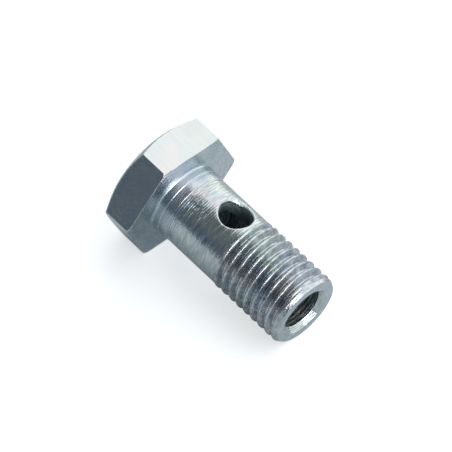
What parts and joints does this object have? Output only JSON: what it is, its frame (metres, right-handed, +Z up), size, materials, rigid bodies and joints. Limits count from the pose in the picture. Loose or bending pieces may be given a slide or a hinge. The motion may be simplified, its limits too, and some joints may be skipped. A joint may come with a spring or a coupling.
{
  "type": "banjo bolt",
  "caption": "Hollow hexagon-head bolt with a plain shank pierced by a cross hole, a blind bore up from the tip and a threaded end; lies on its side.",
  "frame": {"origin": "on the surface the bolt lies on, under the middle of its bounding box", "axes": "+X runs from the head to the tip, level, with the bolt's own axis dipping 7.9 degrees below it; +Z up, square to the surface; +Y across the bolt"},
  "size_m": [0.0336, 0.022, 0.0196],
  "materials": {
    "zinc_plated_steel": "bright zinc plate over fine turning marks"
  },
  "bodies": {
    "root": {"banjo_bolt": "zinc_plated_steel"}
  },
  "joints": []
}
